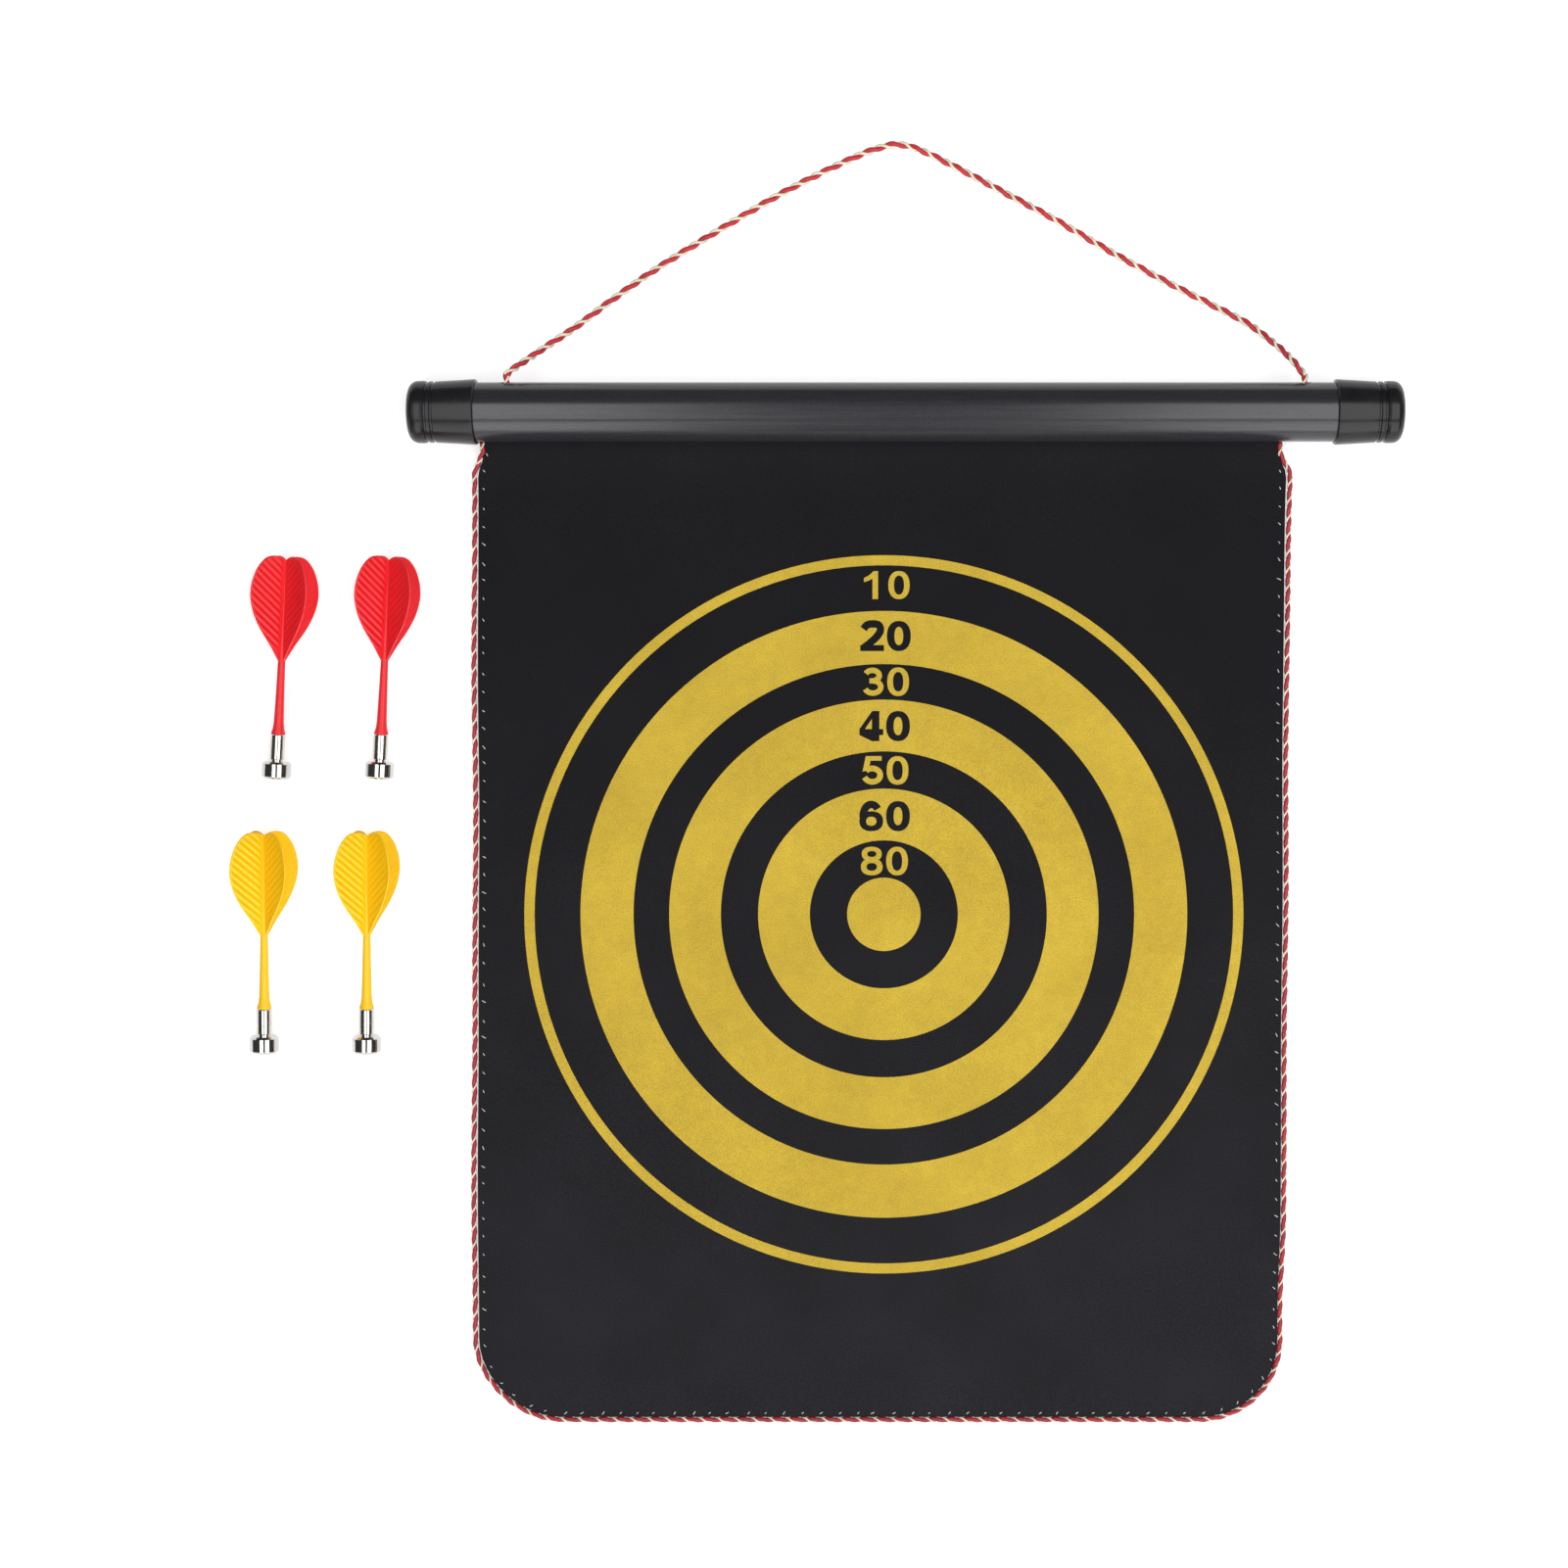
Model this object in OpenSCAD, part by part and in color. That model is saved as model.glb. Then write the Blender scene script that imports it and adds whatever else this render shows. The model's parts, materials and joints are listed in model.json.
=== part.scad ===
// Roll-up magnetic dartboard with four magnetic darts, lying face up.
// Origin: centre of the bull, on the back face of the mat. +X right, +Y towards the tube, +Z up.

/* [Mat] */
// Width of the cloth between its edge cords
mat_width = 292; // [260:1:294]
// Distance from the bull's centre down to the cloth's lower edge
mat_below = 184.8; // [160:0.1:200]
// Radius of the two lower corners
corner_radius = 29; // [15:1:40]
// Thickness of one cloth
cloth = 0.3; // [0.2:0.05:0.5]
// Thickness of the magnetic sheet between the cloths
core = 0.8; // [0.5:0.05:1.2]
// Diameter of the cord sewn round the edge
edge_cord_d = 2; // [1.4:0.1:3]

/* [Target] */
// Radius of the bull
bull_r = 13.5; // [10:0.5:16]
// Height of the printed layer
print_height = 0.1; // [0.05:0.01:0.2]

/* [Tube] */
// Outside diameter of the tube
tube_d = 21.5; // [19:0.1:21.8]
// Wall of the tube
tube_wall = 1.2; // [0.9:0.1:1.6]
// Length of tube that shows between the caps
tube_shown = 312; // [310:1:340]
// Distance from the bull's centre up to the tube's axis
tube_above = 183.2; // [175:0.1:190]
// How far the tube's middle sits to the right of the bull
tube_shift = 8; // [4:0.5:8.5]
// Diameter of each cord hole
cord_hole_d = 5; // [4:0.5:6]

/* [End caps] */
// Length of a cap
cap_length = 24.4; // [24:0.1:30]
// Diameter of a cap at its rim
cap_rim_d = 23.7; // [23.4:0.1:25]
// How far a cap reaches over the tube
cap_grip = 11; // [8:0.5:13]

/* [Hanger] */
// Diameter of the hanger cord
hanger_d = 2.6; // [2:0.1:3]

/* [Darts] */
// Diameter of a magnet
magnet_d = 10.6; // [9.5:0.1:11]
// Length of a magnet
magnet_length = 6.2; // [5.5:0.1:7]
// Diameter of a barrel
barrel_d = 5.4; // [5:0.1:6]
// Distance from the magnet's face to the barrel's far end
barrel_end = 16.2; // [15:0.1:17]

/* [Hidden] */

// A gap so thin that glued layers count as touching
glue_gap = 0.02;
// Radial room of a push fit
fit_gap = 0.05;

// Tube: its axis is as high as the rims of the caps, which rest on the table
tube_r = tube_d / 2;
tube_bore_r = tube_r - tube_wall;
tube_axis_z = cap_rim_d / 2;
tube_inside_cap = cap_grip - 0.1;
tube_length = tube_shown + 2 * tube_inside_cap;

// Slot: it runs along the tube and points down towards the mat
slot_angle = 30;
slot_width = 1.8;
slot_y = -cos(slot_angle);
slot_z = -sin(slot_angle);

// Hem: the rod in its loop of cloth, just inside the slot
hem_rod_d = 3;
hem_cloth = 0.6;
hem_loop_r = hem_rod_d / 2 + fit_gap + hem_cloth;
hem_from_axis = tube_bore_r - hem_loop_r - 0.3;
hem_tail_out = 0.4;

// Mat: three layers that leave the slot on a slope, bend and then lie flat
mat_x = -0.9;
mat_thickness = 2 * cloth + core;
mat_mid = mat_thickness / 2;
mat_from_slot = 2;
mat_start_y = tube_above + slot_y * (tube_r + mat_from_slot);
mat_start_z = tube_axis_z + slot_z * (tube_r + mat_from_slot);
bend_r = (mat_start_z - mat_mid) / (1 - cos(slot_angle));
flat_from_y = mat_start_y - bend_r * sin(slot_angle);
core_inset = 2;
core_from_slot = 6;

// Edge cord and stitches
edge_cord_out = edge_cord_d / 2 + fit_gap;
edge_cord_angle = slot_angle - 5;
thread_in = 2.2;
thread_width = 0.6;
thread_height = 0.25;

// Target: inner and outer radius of each printed ring
RINGS = [[27.3, 46.4], [60.1, 79.2], [92.3, 112], [129, 132.7]];

// Cap: outline from the rim to the rounded end, as distance along and radius
cap_r = cap_rim_d / 2;
cap_taper_r = 11.07;
cap_bead_r = 11.3;
cap_groove_r = 10.6;
cap_round = 3.5;
cap_bore_r = tube_r + fit_gap;

// Hanger: the cord leaves each hole above the tube's equator
hanger_r = hanger_d / 2;
hole_half_span = 144.8;
hole_angle = 12.5;
knot_r = 3;
knot_from_axis = tube_bore_r - knot_r - 0.1;
stub_from_axis = tube_r + 2.5;
cord_sides = 8;
HANGER_ROUTE = [
    [-135.8, 197.4, 14.4], [-132.8, 200, 12.8], [-128.2, 204, 9], [-121.6, 209.4, 5.2], [-113.6, 215.4, 2.4],
    [-99, 226.5, 1.4], [-84, 237, 1.4], [-69, 246.4, 1.4], [-54, 255.4, 1.4], [-39, 264.2, 1.4],
    [-24, 272, 1.4], [-10, 278.6, 1.4], [-2, 281.6, 1.4], [4.5, 283, 1.4], [11, 281.8, 1.4],
    [19, 278.4, 1.4], [32, 271.8, 1.4], [46, 264.4, 1.4], [60, 257, 1.4], [74, 249, 1.4],
    [88, 241, 1.4], [103, 233, 1.4], [119, 224.8, 1.4], [133, 217.4, 2.4],
    [139.6, 212, 5.2], [145.4, 206.2, 9], [149.4, 201, 12.8], [151.8, 197.4, 14.4]
];

// Darts: distance of each magnet's face from the origin, and how far each leans to the right
DART_TIPS = [[-222.5, 50], [-184.8, 50], [-226.8, -50.4], [-189.4, -50.4]];
DART_LEANS = [3.7, 3.5, 0.9, 1];
dart_pitch = 4.45;
magnet_chamfer = 0.8;
dart_tip_z = magnet_d / 2 * cos(dart_pitch) - magnet_chamfer * sin(dart_pitch);
barrel_waist_r = 2.2;
barrel_waist = 0.6;
spigot_r = 1.2;
spigot_length = 2.4;
stem_foot_r = 2.6;
stem_neck_r = 1.35;
stem_end = 43;
flight_end = 79.6;
vane_thickness = 0.7;
vane_roll = 45;
VANE_EDGE = [
    [1, 42.2], [2.3, 44.2], [5.4, 48.8], [9.6, 54.4], [12.6, 59.8], [14.1, 64.8],
    [14.3, 68.4], [13.6, 72.4], [11.7, 76.8], [8.6, 80.2], [5.2, 81.2], [2, 80.8], [0, 79.6]
];

// A smooth curve through points: each span is a Catmull-Rom cubic cut into steps
function span(a, b, c, d, t) =
    0.5 * (2 * b + (c - a) * t + (2 * a - 5 * b + 4 * c - d) * t * t + (3 * b - a - 3 * c + d) * t * t * t);
function smooth(p, steps) = [
    for (i = [0 : len(p) - 2], k = [0 : steps - 1])
        span(p[max(i - 1, 0)], p[i], p[i + 1], p[min(i + 2, len(p) - 1)], k / steps),
    p[len(p) - 1]
];
function unit(v) = v / norm(v);
function arc(centre, r, from, to, steps) = [
    for (k = [0 : steps]) let (a = from + (to - from) * k / steps) centre + r * [cos(a), sin(a)]
];

// The ring of points round a route at its point i, square to the route
function route_ring(p, i, r, sides) =
    let (along = unit(p[min(i + 1, len(p) - 1)] - p[max(i - 1, 0)]))
    let (side = unit(cross(along, [0, 0, 1])), up = cross(side, along))
    [for (k = [0 : sides - 1]) p[i] + r * (cos(360 * k / sides) * side + sin(360 * k / sides) * up)];

module cord_along(p, r, sides = cord_sides) {
    last = (len(p) - 1) * sides;
    polyhedron(
        points = [for (i = [0 : len(p) - 1], q = route_ring(p, i, r, sides)) q],
        faces = concat(
            [[for (k = [0 : sides - 1]) k]],
            [
                for (i = [0 : len(p) - 2], k = [0 : sides - 1])
                    let (a = i * sides + k, b = i * sides + (k + 1) % sides)
                    [a, a + sides, b + sides, b]
            ],
            [[for (k = [sides - 1 : -1 : 0]) last + k]]
        )
    );
}

// Draws a Y-Z outline and extends it along X
module along_x(from, length) {
    translate([from, 0, 0])
        rotate([90, 0, 90])
            linear_extrude(length)
                children();
}

// Turns a shape on the tube's axis so that its own +X points down the slot
module at_slot() {
    translate([tube_above, tube_axis_z])
        rotate(180 + slot_angle)
            children();
}

module tube() {
    color([0.2, 0.2, 0.22])
        difference() {
            along_x(tube_shift - tube_length / 2, tube_length)
                difference() {
                    translate([tube_above, tube_axis_z])
                        circle(r = tube_r, $fn = 96);
                    translate([tube_above, tube_axis_z])
                        circle(r = tube_bore_r, $fn = 96);
                    at_slot()
                        translate([0, -slot_width / 2])
                            square([tube_d, slot_width]);
                }
            for (side = [-1, 1])
                translate([tube_shift + side * hole_half_span, tube_above, tube_axis_z])
                    rotate([hole_angle - 90, 0, 0])
                        cylinder(h = tube_d, d = cord_hole_d, $fn = 32);
        }
}

module hem_rod() {
    color("silver")
        along_x(mat_x - mat_width / 2, mat_width)
            at_slot()
                translate([hem_from_axis, 0])
                    circle(d = hem_rod_d, $fn = 32);
}

module mat_hem() {
    tail_from = hem_from_axis + hem_rod_d / 2 + hem_cloth / 2;
    color([0.1, 0.1, 0.11])
        along_x(mat_x - mat_width / 2, mat_width)
            at_slot()
                difference() {
                    union() {
                        translate([hem_from_axis, 0])
                            circle(r = hem_loop_r, $fn = 32);
                        translate([tail_from, -hem_cloth])
                            square([tube_r + hem_tail_out - tail_from, 2 * hem_cloth]);
                    }
                    translate([hem_from_axis, 0])
                        circle(r = hem_rod_d / 2 + fit_gap, $fn = 32);
                }
}

// The knot inside the tube and the stretch of cord in its hole
module cord_knot(side) {
    color([0.75, 0.15, 0.18])
        translate([tube_shift + side * hole_half_span, tube_above, tube_axis_z])
            rotate([hole_angle - 90, 0, 0]) {
                translate([0, 0, knot_from_axis])
                    sphere(r = knot_r, $fn = 32);
                translate([0, 0, knot_from_axis])
                    cylinder(h = stub_from_axis - knot_from_axis, r = hanger_r, $fn = 32);
                translate([0, 0, stub_from_axis])
                    sphere(r = hanger_r, $fn = 32);
            }
}

// A cap along +Z with its rim at the origin
module end_cap() {
    color([0.06, 0.06, 0.07])
        rotate_extrude($fn = 96)
            polygon(concat(
                [
                    [0, cap_grip], [cap_bore_r, cap_grip], [cap_bore_r, 0], [cap_r - 0.3, 0], [cap_r, 0.3],
                    [cap_r, 1.2], [cap_taper_r, 14.6], [cap_groove_r, 14.9], [cap_groove_r, 15.5],
                    [cap_taper_r, 15.8], [cap_taper_r, 16.9], [cap_groove_r, 17.2], [cap_groove_r, 17.8],
                    [cap_bead_r - 0.2, 18.1], [cap_bead_r, 19]
                ],
                arc([cap_bead_r - cap_round, cap_length - cap_round], cap_round, 0, 90, 6),
                [[0, cap_length]]
            ));
}

module end_cap_left() {
    translate([tube_shift - tube_shown / 2, tube_above, tube_axis_z])
        rotate([0, -90, 0])
            end_cap();
}

module end_cap_right() {
    translate([tube_shift + tube_shown / 2, tube_above, tube_axis_z])
        rotate([0, 90, 0])
            end_cap();
}

module hanger_cord() {
    color([0.78, 0.16, 0.2])
        cord_along(smooth(HANGER_ROUTE, 2), hanger_r);
}

// The mat's outline seen from above, drawn in from the cloth's edge by an inset
module mat_outline(inset, top) {
    r = corner_radius - inset;
    left = mat_x - mat_width / 2 + inset;
    bottom = inset - mat_below;
    width = mat_width - 2 * inset;
    translate([left, bottom + r])
        square([width, top - bottom - r]);
    translate([left + r, bottom])
        square([width - 2 * r, r + 1]);
    for (x = [left + r, left + width - r])
        translate([x, bottom + r])
            circle(r = r, $fn = 64);
}

// One layer of the mat between two heights above its back face
module mat_layer(low, high, inset, skip) {
    skip_angle = skip / bend_r * 180 / PI;
    intersection() {
        along_x(mat_x - mat_width, 2 * mat_width) {
            translate([-mat_below - 5, low])
                square([flat_from_y + mat_below + 5, high - low]);
            translate([flat_from_y, mat_mid + bend_r])
                intersection() {
                    difference() {
                        circle(r = bend_r + mat_mid - low, $fn = 360);
                        circle(r = bend_r + mat_mid - high, $fn = 360);
                    }
                    polygon([
                        [0, 0],
                        [0, -2 * bend_r],
                        2 * bend_r * [sin(slot_angle - skip_angle), -cos(slot_angle - skip_angle)]
                    ]);
                }
        }
        translate([0, 0, -1])
            linear_extrude(mat_start_z + 5)
                mat_outline(inset, tube_above);
    }
}

module back_cloth() {
    color([0.13, 0.13, 0.14])
        mat_layer(0, cloth, 0, 0);
}

module magnetic_core() {
    color([0.35, 0.35, 0.37])
        mat_layer(cloth + glue_gap, cloth + core - glue_gap, core_inset, core_from_slot);
}

module front_cloth() {
    color([0.14, 0.14, 0.15])
        mat_layer(cloth + core, mat_thickness, 0, 0);
}

module target_print() {
    color([0.85, 0.72, 0.24])
        translate([0, 0, mat_thickness + glue_gap])
            linear_extrude(print_height) {
                circle(r = bull_r, $fn = 96);
                for (ring = RINGS)
                    difference() {
                        circle(r = ring[1], $fn = 128);
                        circle(r = ring[0], $fn = 128);
                    }
            }
}

// Half of the edge cord's route, from the tube down the side to the middle of the bottom edge
function edge_cord_bend() = [
    for (q = arc([flat_from_y, edge_cord_d / 2 + bend_r], bend_r, edge_cord_angle - 90, -90, 5))
        [mat_width / 2 + edge_cord_out, q[0], q[1]]
];
function edge_cord_corner() = [
    for (q = arc([mat_width / 2 - corner_radius, corner_radius - mat_below], corner_radius + edge_cord_out, 0, -90, 8))
        [q[0], q[1], edge_cord_d / 2]
];
function edge_cord_half() = concat(edge_cord_bend(), edge_cord_corner());
function edge_cord_route() =
    let (right = edge_cord_half(), last = len(right) - 1)
    concat(
        [for (i = [0 : last]) right[i] + [mat_x, 0, 0]],
        [for (i = [last : -1 : 0]) [mat_x - right[i][0], right[i][1], right[i][2]]]
    );

module edge_cord() {
    color([0.78, 0.2, 0.22])
        cord_along(edge_cord_route(), edge_cord_d / 2);
}

module edge_thread() {
    color([0.75, 0.75, 0.73])
        translate([0, 0, mat_thickness + glue_gap])
            linear_extrude(thread_height)
                difference() {
                    mat_outline(thread_in, flat_from_y);
                    mat_outline(thread_in + thread_width, flat_from_y + 1);
                }
}

// Stands a dart, drawn along +Z from the magnet's face, on its magnet's rim and lowest vane
module as_dart(i) {
    translate([DART_TIPS[i][0], DART_TIPS[i][1], dart_tip_z])
        rotate([0, 0, -DART_LEANS[i]])
            rotate([dart_pitch - 90, 0, 0])
                children();
}

module magnet() {
    r = magnet_d / 2;
    color([0.8, 0.8, 0.82])
        rotate_extrude($fn = 64)
            polygon([
                [0, 0], [r - magnet_chamfer, 0], [r, magnet_chamfer],
                [r, magnet_length - magnet_chamfer], [r - magnet_chamfer, magnet_length],
                [spigot_r + fit_gap, magnet_length],
                [spigot_r + fit_gap, magnet_length - spigot_length - 0.1],
                [0, magnet_length - spigot_length - 0.1]
            ]);
}

module barrel() {
    r = barrel_d / 2;
    socket_from = barrel_end - spigot_length - 0.1;
    color([0.75, 0.75, 0.77])
        rotate_extrude($fn = 48)
            polygon([
                [0, magnet_length - spigot_length], [spigot_r, magnet_length - spigot_length],
                [spigot_r, magnet_length], [barrel_waist_r, magnet_length],
                [barrel_waist_r, magnet_length + barrel_waist], [r, magnet_length + barrel_waist + 0.3],
                [r, barrel_end - 0.3], [r - 0.3, barrel_end], [spigot_r + fit_gap, barrel_end],
                [spigot_r + fit_gap, socket_from], [0, socket_from]
            ]);
}

module flight(shade) {
    edge = smooth(VANE_EDGE, 2);
    color(shade) {
        translate([0, 0, barrel_end - spigot_length])
            cylinder(h = spigot_length + 1, r = spigot_r, $fn = 32);
        rotate_extrude($fn = 32)
            polygon([
                [0, barrel_end], [stem_foot_r, barrel_end], [stem_foot_r, barrel_end + 0.4],
                [0.8 * stem_foot_r, barrel_end + 2.2], [0.7 * stem_foot_r, barrel_end + 4.4],
                [stem_neck_r, stem_end], [vane_thickness, flight_end - 1], [0, flight_end - 1]
            ]);
        for (k = [0 : 3])
            rotate([0, 0, vane_roll + 90 * k])
                rotate([90, 0, 0])
                    translate([0, 0, -vane_thickness / 2])
                        linear_extrude(vane_thickness)
                            polygon(concat(edge, [[0, VANE_EDGE[0][1]]]));
    }
}

RED = [0.88, 0.14, 0.18];
YELLOW = [0.98, 0.75, 0.1];

tube();
hem_rod();
mat_hem();
cord_knot(-1);  // cord_knot_left
cord_knot(1);  // cord_knot_right
end_cap_left();
end_cap_right();
hanger_cord();
front_cloth();
magnetic_core();
back_cloth();
target_print();
edge_cord();
edge_thread();
as_dart(0) flight(RED);  // red_dart_1_flight
as_dart(0) barrel();  // red_dart_1_barrel
as_dart(0) magnet();  // red_dart_1_magnet
as_dart(1) flight(RED);  // red_dart_2_flight
as_dart(1) barrel();  // red_dart_2_barrel
as_dart(1) magnet();  // red_dart_2_magnet
as_dart(2) flight(YELLOW);  // yellow_dart_1_flight
as_dart(2) barrel();  // yellow_dart_1_barrel
as_dart(2) magnet();  // yellow_dart_1_magnet
as_dart(3) flight(YELLOW);  // yellow_dart_2_flight
as_dart(3) barrel();  // yellow_dart_2_barrel
as_dart(3) magnet();  // yellow_dart_2_magnet
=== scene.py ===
"""The looks of a roll-up magnetic dartboard and its four darts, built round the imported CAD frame."""
import json
import math
import random

import bpy
import numpy as np
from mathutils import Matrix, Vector, geometry


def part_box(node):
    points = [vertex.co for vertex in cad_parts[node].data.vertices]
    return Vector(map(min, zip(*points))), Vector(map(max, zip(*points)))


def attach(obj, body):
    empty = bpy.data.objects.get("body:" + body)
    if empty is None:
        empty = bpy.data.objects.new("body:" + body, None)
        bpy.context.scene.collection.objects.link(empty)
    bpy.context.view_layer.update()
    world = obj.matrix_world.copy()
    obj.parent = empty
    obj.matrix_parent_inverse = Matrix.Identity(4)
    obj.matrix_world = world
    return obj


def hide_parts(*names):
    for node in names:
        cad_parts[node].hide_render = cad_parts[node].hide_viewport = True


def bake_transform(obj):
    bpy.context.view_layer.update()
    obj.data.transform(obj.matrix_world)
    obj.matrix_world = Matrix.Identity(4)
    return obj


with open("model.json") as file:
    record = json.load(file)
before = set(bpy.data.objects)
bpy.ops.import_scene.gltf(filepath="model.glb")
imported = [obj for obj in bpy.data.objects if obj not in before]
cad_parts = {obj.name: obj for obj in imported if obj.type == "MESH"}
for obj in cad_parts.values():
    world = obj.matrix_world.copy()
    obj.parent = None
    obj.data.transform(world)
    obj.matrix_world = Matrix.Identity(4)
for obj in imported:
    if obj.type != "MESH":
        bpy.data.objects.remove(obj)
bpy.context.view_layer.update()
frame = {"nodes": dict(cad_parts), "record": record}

MM = 0.001
SLOT_ANGLE = math.radians(30)
START_FROM_SLOT = 2 * MM

# ---------------------------------------------------------------- places read from the frame

TUBE_LOW, TUBE_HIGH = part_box("tube")
TUBE_Y = (TUBE_LOW.y + TUBE_HIGH.y) / 2
TUBE_Z = (TUBE_LOW.z + TUBE_HIGH.z) / 2
TUBE_R = (TUBE_HIGH.z - TUBE_LOW.z) / 2
CLOTH_LOW, CLOTH_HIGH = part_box("front_cloth")
MAT_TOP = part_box("target_print")[0].z - 0.02 * MM
MAT_MID = MAT_TOP / 2
CLOTH_T = 0.3 * MM
MAT_CX = (CLOTH_LOW.x + CLOTH_HIGH.x) / 2
MAT_HALF = (CLOTH_HIGH.x - CLOTH_LOW.x) / 2
MAT_BOTTOM = CLOTH_LOW.y
CORNER_R = 29 * MM
EDGE_R = 1.0 * MM
MOUNTS = {m["name"]: m for m in frame["record"]["mounts"]}

# The mat leaves the slot on a slope, bends through an arc and lies flat from FLAT_Y down
START_Y = TUBE_Y - math.cos(SLOT_ANGLE) * (TUBE_R + START_FROM_SLOT)
START_Z = TUBE_Z - math.sin(SLOT_ANGLE) * (TUBE_R + START_FROM_SLOT)
BEND_R = (START_Z - MAT_MID) / (1 - math.cos(SLOT_ANGLE))
FLAT_Y = START_Y - BEND_R * math.sin(SLOT_ANGLE)
BEND_END = FLAT_Y + BEND_R * SLOT_ANGLE


# How far the flat mat's sides stand out from the CAD outline, and how high its waves are
LEFT_OUT = -2.1
RIGHT_OUT = 1.2
EDGE_ONLY = 24
WAVE_HEIGHT = 0.3 * MM


def ease(t):
    """From 0 to 1, slow at both ends."""
    t = np.clip(t, 0, 1)
    return t * t * (3 - 2 * t)


def mat_points(x, s, h):
    """Points on the mat: x across, s up along it from the bull, h above its back face.

    Where the mat is flat, s is y."""
    x, s, h = (np.asarray(v, float) for v in (x, s, h))
    x, s, h = np.broadcast_arrays(x, s, h)
    across = (x - MAT_CX) / MAT_HALF
    widen = ease((BEND_END - 4 * MM - s) / (8 * MM)) * np.abs(across) ** EDGE_ONLY
    up = s / (150 * MM)
    flare = 0.4 * up + 1.1 * np.maximum(up, 0) ** 2
    right = RIGHT_OUT + flare - 1.3 * ease((-110 * MM - s) / (40 * MM))
    wander = 0.2 * np.sin(s * 31 + 1.1) + 0.12 * np.sin(s * 67 + across)
    x = x + widen * (np.where(across < 0, LEFT_OUT, right) + wander) * MM
    lift = 0.5 + 0.27 * np.sin(x * 26 + 0.7) * np.sin(s * 21 + 0.4) + 0.2 * np.sin(s * 43 + x * 17)
    lift = lift * WAVE_HEIGHT * ease((FLAT_Y - s) / (40 * MM))
    lift = lift * ease((s - MAT_BOTTOM + 4 * MM) / (25 * MM))
    a = np.clip((s - FLAT_Y) / BEND_R, 0, SLOT_ANGLE)
    beyond = np.maximum(s - BEND_END, 0)
    r = BEND_R + MAT_MID - h
    y = np.minimum(s, FLAT_Y) + r * np.sin(a) + beyond * math.cos(SLOT_ANGLE)
    z = np.where(s > FLAT_Y, BEND_R + MAT_MID - r * np.cos(a) + beyond * math.sin(SLOT_ANGLE), h + lift)
    return np.stack([x, y, z], -1)


# ---------------------------------------------------------------- meshes

def make_mesh(name, verts, faces, slots=(), face_slots=None, smooth=True, uv=None):
    """An object in the scene from plain lists, with its materials and, if given, its strand map."""
    mesh = bpy.data.meshes.new(name)
    mesh.from_pydata([tuple(v) for v in verts], [], [tuple(int(i) for i in f) for f in faces])
    for material in slots:
        mesh.materials.append(material)
    if face_slots is not None:
        mesh.polygons.foreach_set("material_index", np.asarray(face_slots, np.int32))
    mesh.polygons.foreach_set("use_smooth", np.full(len(mesh.polygons), smooth))
    if uv is not None:
        layer = mesh.uv_layers.new(name="strand")
        loops = np.zeros(len(mesh.loops), np.int32)
        mesh.loops.foreach_get("vertex_index", loops)
        layer.data.foreach_set("uv", np.asarray(uv, np.float32)[loops].ravel())
    mesh.update()
    piece = bpy.data.objects.new(name, mesh)
    bpy.context.scene.collection.objects.link(piece)
    return piece


def catmull(points, steps):
    """The same smooth curve through a cord's points that the CAD source uses."""
    p = np.asarray(points, float)
    out = []
    for i in range(len(p) - 1):
        a, b, c, d = p[max(i - 1, 0)], p[i], p[i + 1], p[min(i + 2, len(p) - 1)]
        for k in range(steps):
            t = k / steps
            out.append(0.5 * (2 * b + (c - a) * t + (2 * a - 5 * b + 4 * c - d) * t * t
                              + (3 * b - a - 3 * c + d) * t ** 3))
    out.append(p[-1])
    return np.array(out)


def resample(points, step):
    """Points at even steps along a line, and how far along it each is."""
    p = np.asarray(points, float)
    gaps = np.linalg.norm(np.diff(p, axis=0), axis=1)
    along = np.concatenate([[0], np.cumsum(gaps)])
    s = np.linspace(0, along[-1], max(2, int(round(along[-1] / step)) + 1))
    return np.stack([np.interp(s, along, p[:, k]) for k in range(3)], -1), s


def frames(p):
    """Tangent, side and up at each point of a route that is nowhere upright."""
    t = np.gradient(p, axis=0)
    t /= np.linalg.norm(t, axis=1)[:, None]
    side = np.cross(t, [0, 0, 1.0])
    side /= np.linalg.norm(side, axis=1)[:, None]
    return t, side, np.cross(t, side)


def tube_mesh(centres, radii, sides, lobes=0, lobe_depth=0.0, lobe_pitch=1.0, along=None):
    """Vertices, faces and (distance, turn) pairs of a closed tube.

    Lobes are the yarn strands that wind round it."""
    t, side, up = frames(centres)
    n = len(centres)
    a = np.linspace(0, 2 * math.pi, sides, endpoint=False)
    s = along if along is not None else np.arange(n, dtype=float)
    turn = a[None, :] - 2 * math.pi * s[:, None] / lobe_pitch
    lobed = 1 + lobe_depth * (np.abs(np.cos(turn * lobes / 2)) - 0.6)
    r = np.asarray(radii, float).reshape(-1, 1) * lobed
    ring = np.cos(a)[None, :, None] * side[:, None, :] + np.sin(a)[None, :, None] * up[:, None, :]
    verts = (centres[:, None, :] + r[:, :, None] * ring).reshape(-1, 3)
    faces = []
    for i in range(n - 1):
        for k in range(sides):
            b = (k + 1) % sides
            faces.append((i * sides + k, i * sides + b, (i + 1) * sides + b, (i + 1) * sides + k))
    faces.append(tuple(range(sides - 1, -1, -1)))
    faces.append(tuple((n - 1) * sides + k for k in range(sides)))
    uv = np.stack([np.repeat(s, sides), np.tile(a, n)], -1)
    return verts, faces, uv


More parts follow.
